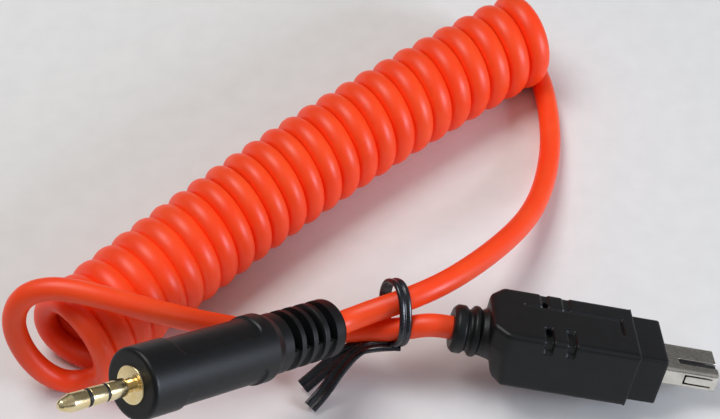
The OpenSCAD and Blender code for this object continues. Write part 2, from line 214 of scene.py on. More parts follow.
def tinned_brass():
    """Solder-dipped tags: dull silver with soft lumps."""
    material, tree, shader = finish_start("tinned_brass", {"Metallic": 1.0})
    tree.links.new(tinted(tree, spots(tree, 0.5), "#B9B6AE", "#D2CFC8"), shader.inputs["Base Color"])
    tree.links.new(between(tree, spots(tree, 0.3), 0.28, 0.45), shader.inputs["Roughness"])
    relief(tree, shader, spots(tree, 0.3), 0.01)
    return material


def extruded_tie_plastic():
    """Extruded PVC ribbon of the tie: glossy blue-black with draw lines along it."""
    material, tree, shader = finish_start(
        "extruded_tie_plastic", {"IOR": 1.53, "Coat Weight": 0.25, "Coat Roughness": 0.12}
    )
    tree.links.new(tinted(tree, spots(tree, 2.0, 3.0), "#0C0E13", "#1A1D25"), shader.inputs["Base Color"])
    tree.links.new(between(tree, spots(tree, 0.6), 0.2, 0.34), shader.inputs["Roughness"])
    relief(tree, shader, spots(tree, 0.35), 0.008)
    return material


def drawn_tie_wire():
    """Soft iron wire: grey, drawn, a little dull."""
    material, tree, shader = finish_start("drawn_tie_wire", {"Metallic": 1.0})
    tree.links.new(tinted(tree, spots(tree, 0.4), "#7E7E81", "#98989B"), shader.inputs["Base Color"])
    tree.links.new(between(tree, spots(tree, 0.2), 0.3, 0.45), shader.inputs["Roughness"])
    return material


def studio_paper():
    """Matt paper floor: near white, with a very faint tooth."""
    material, tree, shader = finish_start("studio_paper", {"Specular IOR Level": 0.1, "Roughness": 0.9})
    tree.links.new(tinted(tree, spots(tree, 4.0), "#E2E1DF", "#E6E5E3"), shader.inputs["Base Color"])
    return material


FINISHES = {
    "gold_plate": gold_plating(),
    "insulator": glass_filled_nylon(),
    "tinned_brass": tinned_brass(),
    "inner_plastic": inner_polyethylene(),
    "black_moulding": pvc_moulding(),
    "copper_wire": copper_strand(),
    "cord_jacket": polyurethane_jacket(),
    "plated_steel": nickel_plated_sheet(),
    "tie_plastic": extruded_tie_plastic(),
    "tie_steel": drawn_tie_wire(),
}

# ---------------------------------------------------------------- mesh helpers


def set_mesh(name, points_mm, faces, slot, body=MAIN_BODY, crease=40.0, replaces=()):
    """A piece from points in millimetres in the row frame, smooth except over edges sharper than crease degrees."""
    mesh = bpy.data.meshes.new(name)
    mesh.from_pydata([[float(c) * MM for c in p] for p in points_mm], [], faces)
    return dress(mesh, name, slot, body, crease, replaces)


def dress(mesh, name, slot, body=MAIN_BODY, crease=40.0, replaces=()):
    bm = bmesh.new()
    bm.from_mesh(mesh)
    bmesh.ops.recalc_face_normals(bm, faces=bm.faces)
    for edge in bm.edges:
        edge.smooth = not edge.is_manifold or edge.calc_face_angle(0) < math.radians(crease)
    for face in bm.faces:
        face.smooth = True
    bm.to_mesh(mesh)
    bm.free()
    mesh.materials.clear()
    mesh.materials.append(FINISHES[slot])
    obj = bpy.data.objects.new(name, mesh)
    bpy.context.collection.objects.link(obj)
    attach(obj, body)
    if replaces:
        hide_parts(*replaces)
    return obj


def skin(rows, cols, first=0, closed=True):
    """Quads between successive rings of cols points."""
    last = cols if closed else cols - 1
    faces = []
    for i in range(rows - 1):
        low, high = first + i * cols, first + (i + 1) * cols
        for k in range(last):
            m = (k + 1) % cols
            faces.append((low + k, low + m, high + m, high + k))
    return faces


def eased(profile, radius, steps=4):
    """A polyline with each inner corner rounded to the radius, or to as much of it as its sides leave room for."""
    pts = [np.asarray(p, float) for p in profile]
    out = [pts[0]]
    for before, corner, after in zip(pts, pts[1:], pts[2:]):
        a, b = before - corner, after - corner
        la, lb = np.linalg.norm(a), np.linalg.norm(b)
        a, b = a / la, b / lb
        half = math.acos(float(np.clip(a @ b, -1, 1))) / 2
        if half > math.radians(86):
            out.append(corner)
            continue
        reach = min(radius / math.tan(half), 0.45 * la, 0.45 * lb)
        start, end = corner + a * reach, corner + b * reach
        for t in np.linspace(0, 1, steps + 1):
            out.append((1 - t) ** 2 * start + 2 * t * (1 - t) * corner + t * t * end)
    out.append(pts[-1])
    return np.array(out)


def revolved(profile, at, axes, sides=96):
    """Points and faces of a closed turning; profile runs along local x from r = 0 to r = 0."""
    points, faces, rings = [], [], []
    for s, r in profile:
        if r < 1e-6:
            rings.append([len(points)])
            points.append(at + s * axes[:, 0])
        else:
            rings.append(list(range(len(points), len(points) + sides)))
            for k in range(sides):
                a = 2 * math.pi * k / sides
                points.append(at + s * axes[:, 0] + r * (math.cos(a) * axes[:, 1] + math.sin(a) * axes[:, 2]))
    for low, high in zip(rings, rings[1:]):
        for k in range(sides):
            m = (k + 1) % sides
            if len(low) == 1 and len(high) > 1:
                faces.append((low[0], high[m], high[k]))
            elif len(high) == 1 and len(low) > 1:
                faces.append((low[k], low[m], high[0]))
            elif len(low) > 1:
                faces.append((low[k], low[m], high[m], high[k]))
    return points, faces


def spline(control, n):
    """Uniform cubic spline through a route's control points, with straight ends."""
    p = [np.asarray(c, float) for c in control]
    p = [2 * p[0] - p[1], *p, 2 * p[-1] - p[-2]]
    out = []
    for a, b, c, d in zip(p, p[1:], p[2:], p[3:]):
        for t in np.arange(n) / n:
            weights = ((1 - t) ** 3, 3 * t**3 - 6 * t * t + 4, -3 * t**3 + 3 * t * t + 3 * t + 1, t**3)
            out.append((weights[0] * a + weights[1] * b + weights[2] * c + weights[3] * d) / 6)
    out.append(p[-2])
    return np.array(out)


def carried(line, start):
    """Tangents and two normals carried along a line without twist."""
    tangent = np.gradient(line, axis=0)
    tangent /= np.linalg.norm(tangent, axis=1, keepdims=True)
    normals = []
    u = np.asarray(start, float)
    for t in tangent:
        u = unit(u - (u @ t) * t)
        normals.append(u)
    normals = np.array(normals)
    return tangent, normals, np.cross(tangent, normals)


def evenly(line, step):
    """The same line with points a step apart."""
    length = np.concatenate([[0], np.cumsum(np.linalg.norm(np.diff(line, axis=0), axis=1))])
    at = np.linspace(0, length[-1], max(2, int(round(length[-1] / step)) + 1))
    return np.stack([np.interp(at, length, line[:, k]) for k in range(3)], 1)


def ramp(x, low, high):
    """Smooth step from 0 at low to 1 at high."""
    t = np.clip((x - low) / (high - low), 0, 1)
    return t * t * (3 - 2 * t)


def placed(points):
    return [np.asarray(p, float) + HOME for p in points]


# ---------------------------------------------------------------- cord
CORD_D = 3.5
CORD_R = CORD_D / 2
COIL_R = 6.4
PITCH_NEAR, PITCH_FAR = 3.61, 4.5
COIL_HEADING, COIL_BEND = math.radians(49.4), math.radians(15)
COIL_PHASE = math.radians(8)
TURNS, T_NEAR, T_FAR = 24, -0.35, 24.46
COIL_START = np.array([-50.4, 12.05, COIL_R + CORD_R - CORD_D / 10]) + HOME
RUN = PITCH_NEAR * TURNS + (PITCH_FAR - PITCH_NEAR) * TURNS / 3
ARC_R = RUN / COIL_BEND
COIL_STEPS = 40  # rings of points in a turn
TAIL_STEP = 0.55
CORD_SIDES = 24
IN_MOULDING = 0.9  # how far the cord runs into each plug
# the first turns hang this far out of line at their foot, and the later ones less and less
SLACK = np.array([-2.2, -0.9, 0.0])
SLACK_START, SLACK_SPAN, SLACK_HOLD, SLACK_FADE = 0.05, 0.6, 1.35, 6.0
# A stand-in for turns that lie closer: the wound cord is this share wider along the coil's axis,
# at the far end and at the near end. The real cord is round.
WIDER_FAR, WIDER_NEAR = 0.17, 0.15


def coil_point(t):
    """Middle of the cord at turn t of the coil, whose axis is an arc on the floor."""
    s = PITCH_NEAR * t + (PITCH_FAR - PITCH_NEAR) * max(t, 0) ** 3 / (3 * TURNS**2)
    h = COIL_HEADING - COIL_BEND * s / RUN
    arc = [math.sin(COIL_HEADING) - math.sin(h), math.cos(h) - math.cos(COIL_HEADING), 0]
    axis = COIL_START + ARC_R * np.array(arc)
    f = 2 * math.pi * t + COIL_PHASE
    side = np.array([math.sin(h), -math.cos(h), 0])
    since = (t - SLACK_START) % 1 if t > SLACK_START else 0
    loose = math.sin(math.pi * min(since / SLACK_SPAN, 1)) ** 2 * max(0, min(1, 1 - (t - SLACK_HOLD) / SLACK_FADE))
    return axis + COIL_R * (math.cos(f) * np.array([0, 0, 1]) - math.sin(f) * side) + loose * SLACK


def coil_heading(t):
    return unit(coil_point(t + 0.004) - coil_point(t - 0.004))


jack_entry, plug_entry = JACK_AT, PLUG_AT - 16.1 * PLUG[:, 0]
near_end, near_dir = coil_point(T_NEAR), coil_heading(T_NEAR)
far_end, far_dir = coil_point(T_FAR), coil_heading(T_FAR)
jack_route = [far_end, far_end + 1.5 * far_dir] + placed([
    (22.6, 73, 1.9), (23.7, 67, 1.8), (23.9, 58, 2), (23, 51, 2.4), (21.3, 44, 3.5), (18.6, 37, 5.4),
    (14.3, 29.8, 8.4), (9.2, 23, 11.4), (3.6, 17.2, 13.6), (-2.2, 14, 14), (-7, 13.2, 12.5),
]) + [jack_entry - 3.5 * JACK[:, 0], jack_entry]
camera_route = [near_end, near_end - 1.2 * near_dir] + placed([
    (-48.9, 7.9, 2.5), (-51.3, 7.9, 1.6), (-54.2, 7.9, 2.1), (-57.0, 8.3, 5.3), (-58.9, 9.5, 9.1),
    (-59.7, 11, 13.6), (-57.5, 12.3, 18.2), (-52.5, 12.3, 19.9), (-46.5, 11.1, 19.4), (-40, 10.2, 17.5),
    (-34, 10.6, 14.3), (-28.6, 11.4, 11.2), (-23.2, 12.2, 8.6), (-17.6, 13.1, 6.8), (-12, 13.5, 7),
    (-7, 12.6, 8.4), (-2.4, 11.5, 10.3),
]) + [plug_entry - 3.5 * PLUG[:, 0], plug_entry]
jack_line = spline(jack_route, 12)
camera_line = spline(camera_route, 12)
coil_line = np.array([coil_point(t) for t in np.linspace(T_NEAR, T_FAR, int((T_FAR - T_NEAR) * COIL_STEPS))])
camera_part = evenly(camera_line[::-1], TAIL_STEP)
# the cord runs from the camera plug through the coil to the jack
cord_line = np.vstack([
    [plug_entry + IN_MOULDING * PLUG[:, 0]], camera_part, coil_line[1:-1],
    evenly(jack_line, TAIL_STEP), [jack_entry + IN_MOULDING * JACK[:, 0]],
])
_, across, up = carried(cord_line, (0, 0, 1))
first_wound = len(camera_part) + 1
cord_points = []
for i, (centre, a, b) in enumerate(zip(cord_line, across, up)):
    wound = i - first_wound
    t = T_NEAR + wound / COIL_STEPS if 0 <= wound < len(coil_line) else T_NEAR
    h = COIL_HEADING - COIL_BEND * t / TURNS
    heading = np.array([math.cos(h), math.sin(h), 0])
    wide = WIDER_FAR * float(ramp(t, 4, 24)) * float(1 - ramp(t, T_FAR - 0.5, T_FAR))
    wide += WIDER_NEAR * float(ramp(t, 0.2, 0.6)) * float(1 - ramp(t, 5.0, 9.0))
    for k in range(CORD_SIDES):
        f = 2 * math.pi * k / CORD_SIDES
        offset = CORD_R * (math.cos(f) * a + math.sin(f) * b)
        p = centre + offset + wide * (offset @ heading) * heading
        cord_points.append((p[0], p[1], max(p[2], 0.0)))
last_ring = (len(cord_line) - 1) * CORD_SIDES
cord_faces = skin(len(cord_line), CORD_SIDES)
cord_faces += [tuple(range(CORD_SIDES)), tuple(range(last_ring, last_ring + CORD_SIDES))]
cord = set_mesh(
    "cord", cord_points, cord_faces, "cord_jacket", crease=60, replaces=("coil", "jack_tail", "camera_tail")
)

# ---------------------------------------------------------------- jack plug
JACK_BODY_L, JACK_BODY_R = 36.9, 4.95
RELIEF_L, RELIEF_R = 12.8, 4.35
PIN_R = 1.25
FLANGE_Z = JACK_BODY_L + 0.2
PIN_Z = JACK_BODY_L + 11.8
WASHER = 0.4
TIP_Z = PIN_Z - 4.35
RING_Z = TIP_Z - WASHER - 2.4
SLEEVE_Z = RING_Z - WASHER
# grip panels: where they begin and end, their middle angle and half their angle
PANEL_START, PANEL_END, PANEL_DEPTH = 16.2, 30.8, 0.3
PANEL_AT, PANEL_HALF = 131, 62.5
# relief grooves: shallow all round, with a deep window on each side
GROOVE_STARTS, RELIEF_GROOVE_W, RELIEF_GROOVE_DEPTH = (3.0, 5.42, 7.81, 10.2), 1.4, 0.5
WINDOW_AT, WINDOW_HALF, WINDOW_DEPTH = 79.5, 61.5, 1.75


def rounded_rect(x, y, half_x, half_y, corner):
    """Signed distance to a rectangle with round corners, negative inside."""
    qx, qy = np.abs(x) - half_x + corner, np.abs(y) - half_y + corner
    return np.hypot(np.maximum(qx, 0), np.maximum(qy, 0)) + np.minimum(np.maximum(qx, qy), 0) - corner


def jack_moulding():
    """Turned body with two sunk grip panels and four relief grooves with deep windows."""
    outline = eased([
        (1.0, 0.0), (1.0, 1.82), (0.0, 1.82), (0.0, RELIEF_R), (RELIEF_L, RELIEF_R), (RELIEF_L + 1.4, JACK_BODY_R),
        (JACK_BODY_L, JACK_BODY_R), (JACK_BODY_L, 0.0),
    ], 0.7, 8)
    steps = np.linalg.norm(np.diff(outline, axis=0), axis=1)
    length = np.concatenate([[0], np.cumsum(steps)])
    at = [0.0]
    while at[-1] < length[-1]:
        s, r = (np.interp(at[-1], length, outline[:, k]) for k in (0, 1))
        on_side = r > RELIEF_R - 0.6
        at.append(at[-1] + (0.4 if not on_side else 0.07 if s < RELIEF_L + 1.5 else 0.12))
    at[-1] = length[-1]
    at = np.unique(np.concatenate([at, length]))
    profile = np.stack([np.interp(at, length, outline[:, k]) for k in (0, 1)], 1)
    angles = set(np.arange(0, 360, 2.5).round(3))
    for middle, half in ((PANEL_AT, PANEL_HALF), (WINDOW_AT, WINDOW_HALF)):
        for edge in (middle - half, middle + half, middle + 180 - half, middle + 180 + half):
            angles |= set((np.arange(edge - 4, edge + 4, 0.5) % 360).round(3))
    angles = np.radians(sorted(angles))
    s, theta = np.meshgrid(profile[:, 0], angles, indexing="ij")
    r = np.repeat(profile[:, 1:2], len(angles), axis=1)
    on_side = ramp(r, RELIEF_R - 0.5, RELIEF_R - 0.1)

    def turn_from(degrees):
        """Angle from the nearer of two opposite directions."""
        half_turn = (theta - math.radians(degrees) + math.pi / 2) % math.pi
        return half_turn - math.pi / 2

    panel = rounded_rect(
        s - (PANEL_START + PANEL_END) / 2, turn_from(PANEL_AT) * JACK_BODY_R, (PANEL_END - PANEL_START) / 2,
        math.radians(PANEL_HALF) * JACK_BODY_R, 1.5,
    )
    r = r - PANEL_DEPTH * (1 - ramp(panel, -0.14, 0.06))
    for middle in GROOVE_STARTS:
        groove = np.abs(s - middle) - RELIEF_GROOVE_W / 2
        window = rounded_rect(
            s - middle, turn_from(WINDOW_AT) * RELIEF_R, RELIEF_GROOVE_W / 2,
            math.radians(WINDOW_HALF) * RELIEF_R, 0.3,
        )
        shallow = RELIEF_GROOVE_DEPTH * (1 - ramp(groove, -0.14, 0.06))
        deep = WINDOW_DEPTH * (1 - ramp(window, -0.12, 0.06))
        r = r - on_side * np.maximum(shallow, deep)
    points = [JACK_AT + profile[0, 0] * JACK[:, 0]]
    for i in range(1, len(profile) - 1):
        around = np.cos(theta[i, :, None]) * JACK[:, 1] + np.sin(theta[i, :, None]) * JACK[:, 2]
        points.extend(JACK_AT + s[i, :, None] * JACK[:, 0] + r[i, :, None] * around)
    n, rows = len(angles), len(profile) - 2
    points.append(JACK_AT + profile[-1, 0] * JACK[:, 0])
    faces = skin(rows, n, first=1)
    faces += [(0, 1 + (k + 1) % n, 1 + k) for k in range(n)]
    last = 1 + (rows - 1) * n
    faces += [(len(points) - 1, last + k, last + (k + 1) % n) for k in range(n)]
    return set_mesh("jack_body", points, faces, "black_moulding", crease=60, replaces=("jack_overmould",))


jack_moulding()


def jack_turning(name, profile, slot, radius, replaces):
    points, faces = revolved(eased(profile, radius), JACK_AT, JACK)
    return set_mesh(name, points, faces, slot, crease=35, replaces=(replaces,))


jack_turning("jack_point", [
    (TIP_Z, 0), (TIP_Z, PIN_R), (TIP_Z + 2.5, PIN_R), (PIN_Z - 0.35, 0.72), (PIN_Z, 0.34), (PIN_Z, 0),
], "gold_plate", 0.3, "jack_tip")
jack_turning("jack_front_washer", [
    (TIP_Z - WASHER, 0), (TIP_Z - WASHER, PIN_R - 0.03), (TIP_Z, PIN_R - 0.03), (TIP_Z, 0)
], "insulator", 0.03, "jack_insulator_front")
jack_turning("jack_middle_contact", [
    (RING_Z, 0), (RING_Z, PIN_R), (TIP_Z - WASHER, PIN_R), (TIP_Z - WASHER, 0)
], "gold_plate", 0.08, "jack_ring")
jack_turning("jack_rear_washer", [
    (SLEEVE_Z, 0), (SLEEVE_Z, PIN_R - 0.03), (RING_Z, PIN_R - 0.03), (RING_Z, 0)
], "insulator", 0.03, "jack_insulator_rear")
jack_turning("jack_collar_contact", [
    (JACK_BODY_L - 0.5, 0), (JACK_BODY_L - 0.5, 2.65), (FLANGE_Z, 2.65), (FLANGE_Z, PIN_R - 0.3),
    (FLANGE_Z + 0.9, PIN_R - 0.3), (FLANGE_Z + 1.2, PIN_R), (SLEEVE_Z, PIN_R), (SLEEVE_Z, 0),
], "gold_plate", 0.12, "jack_sleeve")

# ---------------------------------------------------------------- camera plug
BOX_L, BOX_W, BOX_H = 22, 12.2, 9.4
NOSE_L, NOSE_W, NOSE_H = 4.5, 10.4, 8
SHELL_L, SHELL_W, SHELL_H, SHELL_T = 8.75, 6.55, 3.14, 0.3
FRONT_X = BOX_L / 2
NOSE_X = FRONT_X + NOSE_L
SHELL_X = NOSE_X + SHELL_L
SHELL_BACK = FRONT_X - 5
LATCH_FRONT, LATCH_L, LATCH_W, LATCH_GAP = SHELL_X - 0.9, SHELL_L - 4.75, 1.2, 0.25
TONGUE_PROUD = 0.012
SLOT_START, SLOT_Y, SLOT_W = NOSE_X + 2.8, -0.95, 1.2
GROOVE_X, GROOVE_W, GROOVE_DEPTH = (-2.65, 0.7), 1.35, 0.5
FAR_GROOVE_SHARE = 0.35
HOLE_R, HOLE_DEPTH, HOLE_INSET = 0.45, 1.6, 2.9
LINE_DEPTH = 0.42
BACK_CORNER, BACK_LEAN = 2.2, 1.7


def on_plug(points):
    """Points in the plug's frame, in millimetres, moved to the row frame."""
    return PLUG_AT + np.asarray(points, float) @ PLUG.T


def temporary(name, bm):
    """A working mesh object in plain millimetres, for booleans and remeshing."""
    mesh = bpy.data.meshes.new(name)
    bmesh.ops.recalc_face_normals(bm, faces=bm.faces)
    if bm.calc_volume(signed=True) < 0:
        bmesh.ops.reverse_faces(bm, faces=bm.faces)
    bm.to_mesh(mesh)
    bm.free()
    obj = bpy.data.objects.new(name, mesh)
    bpy.context.collection.objects.link(obj)
    return obj


def prism(plan, low, high, bevel=0.0, front_bevel=None):
    """A plan outline in x and y raised from z low to z high, its edges rounded, those of its front end less."""
    bm = bmesh.new()
    bottom = [bm.verts.new((x, y, low)) for x, y in plan]
    top = [bm.verts.new((x, y, high)) for x, y in plan]
    bm.faces.new(bottom[::-1])
    bm.faces.new(top)
    for k in range(len(plan)):
        m = (k + 1) % len(plan)
        bm.faces.new((bottom[k], bottom[m], top[m], top[k]))
    if front_bevel:
        front = max(x for x, y in plan) - 0.01
        ends = [edge for edge in bm.edges if all(vert.co.x > front for vert in edge.verts)]
        bmesh.ops.bevel(bm, geom=ends, offset=front_bevel, segments=2, profile=0.5, affect="EDGES")
        rest = [edge for edge in bm.edges if all(vert.co.x < front - 0.5 for vert in edge.verts)]
        rest += [edge for edge in bm.edges if abs(edge.verts[0].co.x - edge.verts[1].co.x) > 3 and edge not in rest]
        bmesh.ops.bevel(bm, geom=rest, offset=bevel, segments=4, profile=0.5, affect="EDGES")
    elif bevel:
        bmesh.ops.bevel(bm, geom=bm.edges[:], offset=bevel, segments=3, profile=0.5, affect="EDGES")
    return temporary("prism", bm)


def rod(start, end, radius, sides=40):
    """A working cylinder from start to end."""
    bm = bmesh.new()
    start, end = Vector(start), Vector(end)
    span = end - start
    bmesh.ops.create_cone(bm, cap_ends=True, segments=sides, radius1=radius, radius2=radius, depth=span.length)
    bm.transform(Matrix.Translation((start + end) / 2) @ span.to_track_quat("Z", "Y").to_matrix().to_4x4())
    return temporary("rod", bm)


def merged(base, tools, operation):
    """base with each tool joined or cut by an exact boolean; the tools are removed."""
    for tool in tools:
        modifier = base.modifiers.new("cut", "BOOLEAN")
        modifier.operation, modifier.solver, modifier.object = operation, "EXACT", tool
    applied(base)
    for tool in tools:
        bpy.data.objects.remove(tool)
    return base


def applied(obj):
    """Replaces an object's mesh by what its modifiers give."""
    mesh = bpy.data.meshes.new_from_object(obj.evaluated_get(bpy.context.evaluated_depsgraph_get()))
    obj.modifiers.clear()
    obj.data = mesh
    return obj


def relaxed(points, edges, rounds, share=0.5):
    """Laplacian smoothing of an array of points along mesh edges."""
    count = np.bincount(edges.ravel(), minlength=len(points))[:, None]
    for _ in range(rounds):
        total = np.zeros_like(points)
        np.add.at(total, edges[:, 0], points[edges[:, 1]])
        np.add.at(total, edges[:, 1], points[edges[:, 0]])
        points = points + share * (total / count - points)
    return points


def plan_rectangle(x_low, x_high, y_low, y_high):
    return [(x_low, y_low), (x_high, y_low), (x_high, y_high), (x_low, y_high)]


def plug_moulding():
    """Box, nose and three relief beads grown into one, with grip grooves, sunk line and holes."""
    half_w, half_l, c = BOX_W / 2, BOX_L / 2, BACK_CORNER
    box = prism([
        (-half_l, -half_w + c), (-half_l + c, -half_w), (half_l, -half_w), (half_l, half_w), (-half_l + c, half_w),
        (-half_l, half_w - c),
    ], -BOX_H / 2, BOX_H / 2, 0.75, 0.25)
    nose = prism(plan_rectangle(0, NOSE_X, -NOSE_W / 2, NOSE_W / 2), -NOSE_H / 2, NOSE_H / 2, 0.3)
    beads = eased([
        (1.0, 0), (1.0, 3.8), (-0.1, 3.8), (-0.9, 3.25), (-1.35, 3.8), (-2.0, 3.8), (-2.5, 3.1), (-2.9, 3.1),
        (-3.3, 3.62), (-4.5, 3.6), (-5.1, 3.0), (-5.1, 0),
    ], 0.45, 5)
    points, faces = revolved([(x - half_l, r) for x, r in beads], np.zeros(3), np.eye(3), 72)
    bm = bmesh.new()
    verts = [bm.verts.new(p) for p in points]
    for face in faces:
        bm.faces.new([verts[i] for i in face])
    merged(box, [nose, temporary("beads", bm)], "UNION")
    cuts = []
    for side in (-1, 1):
        at = (GROOVE_X[0], side * (half_w - HOLE_INSET))
        cuts.append(rod((*at, BOX_H / 2 - HOLE_DEPTH), (*at, BOX_H), HOLE_R))
    cuts.append(rod((-half_l - 9, 0, 0), (-half_l - 2.5, 0, 0), CORD_R + 0.03, 48))
    cuts.append(prism(plan_rectangle(SHELL_BACK, NOSE_X + 4, -SHELL_W / 2, SHELL_W / 2), -SHELL_H / 2, SHELL_H / 2))
    merged(box, cuts, "DIFFERENCE")
    voxel = 0.11
    remesh = box.modifiers.new("remesh", "REMESH")
    remesh.mode, remesh.voxel_size = "VOXEL", voxel
    applied(box)
    mesh = box.data
    points = np.array([v.co for v in mesh.vertices])
    edges = np.array([e.vertices for e in mesh.edges])
    points = relaxed(points, edges, 3)
    # grip grooves: channels of even depth that run from the top face over each long edge
    normals = np.array([v.normal for v in mesh.vertices])
    across = np.abs(points[:, 1])
    reach = (1 - ramp(2.35 - across, -0.35, 0.1)) * (1 - ramp(2.5 - points[:, 2], -0.5, 0.2))
    for middle in GROOVE_X:
        channel = reach * (1 - ramp(np.abs(points[:, 0] - middle) - GROOVE_W / 2, -0.22, 0.05))
        channel *= np.where(points[:, 1] > 0, FAR_GROOVE_SHARE, 1)
        points[:, 1:] -= GROOVE_DEPTH * channel[:, None] * normals[:, 1:]
    # the back end leans: its foot stands further forward than its top
    lean = BACK_LEAN * np.clip((1.0 - points[:, 2]) / 5.7, 0, 1)
    on_beads, on_box = ramp(points[:, 0], -half_l - 0.9, -half_l), np.clip((-7 - points[:, 0]) / 4, 0, 1)
    points[:, 0] += lean * np.where(points[:, 0] < -half_l, on_beads, on_box)
    # sunk line: along the far side of the top face and round one corner
    top = points[:, 2] > BOX_H / 2 - 0.25
    x, y = points[:, 0], points[:, 1]
    long_arm = np.hypot(np.maximum(np.abs(x - 1.65) - (BOX_L - 7.3) / 2, 0), y - (half_w - 3.6))
    short_arm = np.hypot(x - (FRONT_X - 2.15), np.maximum(np.abs(y - 0.65) - 1.85, 0))
    line = np.minimum(long_arm, short_arm)
    points[:, 2] -= np.where(top, LINE_DEPTH * (1 - ramp(line, 0.14, 0.3)), 0)
    points = relaxed(points, edges, 1, 0.2)
    mesh.vertices.foreach_set("co", (on_plug(points) * MM).ravel())
    mesh.update()
    bpy.data.objects.remove(box)
    return dress(mesh, "plug_body", "black_moulding", crease=80, replaces=("connector_housing",))


plug_moulding()


def shell_ring(inset, corner):
    """The shell's cross section as (y, z) points, with marks where cut-outs begin and end."""
    half_w, half_h = SHELL_W / 2 - inset, SHELL_H / 2 - inset
    marks_y = [SLOT_Y - SLOT_W / 2, SLOT_Y + SLOT_W / 2, 0.9, 2.0]
    marks_z = [-LATCH_W / 2 - LATCH_GAP, LATCH_W / 2 + LATCH_GAP]
    cy, cz = half_w - corner, half_h - corner
    bends = [(corner * math.sin(a), corner * math.cos(a)) for a in np.radians([15, 30, 45, 60, 75])]
    ring = [(y, half_h) for y in sorted([-cy, *marks_y, cy])]
    ring += [(cy + a, cz + b) for a, b in bends]
    ring += [(half_w, z) for z in sorted([cz, *marks_z, -cz], reverse=True)]
    ring += [(cy + b, -cz - a) for a, b in bends]
    ring += [(y, -half_h) for y in sorted([cy, *marks_y, -cy], reverse=True)]
    ring += [(-cy - a, -cz - b) for a, b in bends]
    ring += [(-half_w, z) for z in sorted([-cz, *marks_z, cz])]
    ring += [(-cy - b, cz + a) for a, b in bends]
    return ring


def sheet_edge(obj):
    """The small round that a stamped edge has."""
    edge = obj.modifiers.new("edge", "BEVEL")
    edge.width, edge.segments, edge.limit_method, edge.angle_limit = 0.05 * MM, 2, "ANGLE", math.radians(50)
    return obj


def plug_socket_shell():
    """Sheet steel folded to a flat tube, with a slot in its broad side and a U cut round each spring tongue."""
    latch_back = LATCH_FRONT - LATCH_L - LATCH_GAP
    stations = [SHELL_BACK, NOSE_X, SLOT_START, latch_back, LATCH_FRONT, SHELL_X - 0.12, SHELL_X]
    outer, inner = shell_ring(0, 0.5), shell_ring(SHELL_T, 0.22)
    n = len(outer)
    points = []
    for ring in (outer, inner):
        for i, x in enumerate(stations):
            draw = 0.05 if i == len(stations) - 1 and ring is outer else 0
            points += [(x, y * (1 - draw / 3), z * (1 - draw)) for y, z in ring]

    def is_cut(i, k):
        low, high = outer[k], outer[(k + 1) % n]
        x, y, z = (stations[i] + stations[i + 1]) / 2, (low[0] + high[0]) / 2, (low[1] + high[1]) / 2
        slot = z > SHELL_H / 2 - 0.01 and abs(y - SLOT_Y) < SLOT_W / 2 and x > SLOT_START
        on_narrow_side = abs(abs(y) - SHELL_W / 2) < 0.01
        tongue = on_narrow_side and abs(z) < LATCH_W / 2 + LATCH_GAP and latch_back < x < LATCH_FRONT
        return slot or tongue

    kept = {(i, k) for i in range(len(stations) - 1) for k in range(n) if not is_cut(i, k)}
    faces, shift = [], len(stations) * n
    for i, k in kept:
        m = (k + 1) % n
        a, b, c, d = i * n + k, i * n + m, (i + 1) * n + m, (i + 1) * n + k
        faces += [(a, b, c, d), (a + shift, d + shift, c + shift, b + shift)]
        sides = ((a, b, (i - 1, k)), (b, c, (i, m)), (c, d, (i + 1, k)), (d, a, (i, (k - 1) % n)))
        for p, q, beside in sides:
            if beside not in kept:
                faces.append((p, p + shift, q + shift, q))
    obj = set_mesh("plug_shell_sheet", on_plug(points), faces, "plated_steel", crease=30, replaces=("plug_shell",))
    return sheet_edge(obj)


plug_socket_shell()


def spring_tongue(name, side, body, replaces):
    """A tongue cut from the shell's narrow side, rounded at its free back end, its root just inside the shell."""
    rows, tip = [], 0.45
    for x in [*np.linspace(0, LATCH_L, 15), LATCH_L + 0.15, LATCH_L + 0.4]:
        rounding = math.sqrt(max(0.04, 1 - max(0, tip - x) ** 2 / tip**2)) * 0.25 + 0.75
        out = TONGUE_PROUD if x < LATCH_L + 0.3 else -0.1
        rows.append((LATCH_FRONT - LATCH_L + x, side * (SHELL_W / 2 + out), LATCH_W / 2 * rounding))
    points = []
    for x, y, half in rows:
        inner = y - side * SHELL_T
        points += [(x, y, -half), (x, y, half), (x, inner, half), (x, inner, -half)]
    faces = skin(len(rows), 4) + [(0, 1, 2, 3), tuple(range(len(points) - 4, len(points)))]
    obj = set_mesh(name, on_plug(points), faces, "plated_steel", body=body, crease=30, replaces=(replaces,))
    return sheet_edge(obj)


spring_tongue("near_spring_tongue", -1, "near_tongue", "latch_near")
spring_tongue("far_spring_tongue", 1, "far_tongue", "latch_far")


def slot_shade_block():
    """Black block with the insulator's finish under the shell's slot: painted shade that keeps what shows through
    the slot dark.
    """
    plan = plan_rectangle(SLOT_START - 0.6, SHELL_X - 0.1, SLOT_Y - 0.7, SLOT_Y + 0.7)
    rib = prism(plan, 0.25, SHELL_H / 2 - SHELL_T - 0.04, 0.05)
    points, faces = [tuple(v.co) for v in rib.data.vertices], [tuple(f.vertices) for f in rib.data.polygons]
    bpy.data.objects.remove(rib)
    return set_mesh("slot_shade_block", on_plug(points), faces, "insulator", crease=30)


# painted shade: a dark block inside the shell, under the slot
slot_shade_block()

# ---------------------------------------------------------------- wire tie
TIE_W, TIE_T, TIE_RIDGE = 2.0, 0.65, 0.24
WIRE_R, WIRE_ACROSS, WIRE_OUT = 0.2, 0.52, 0.32


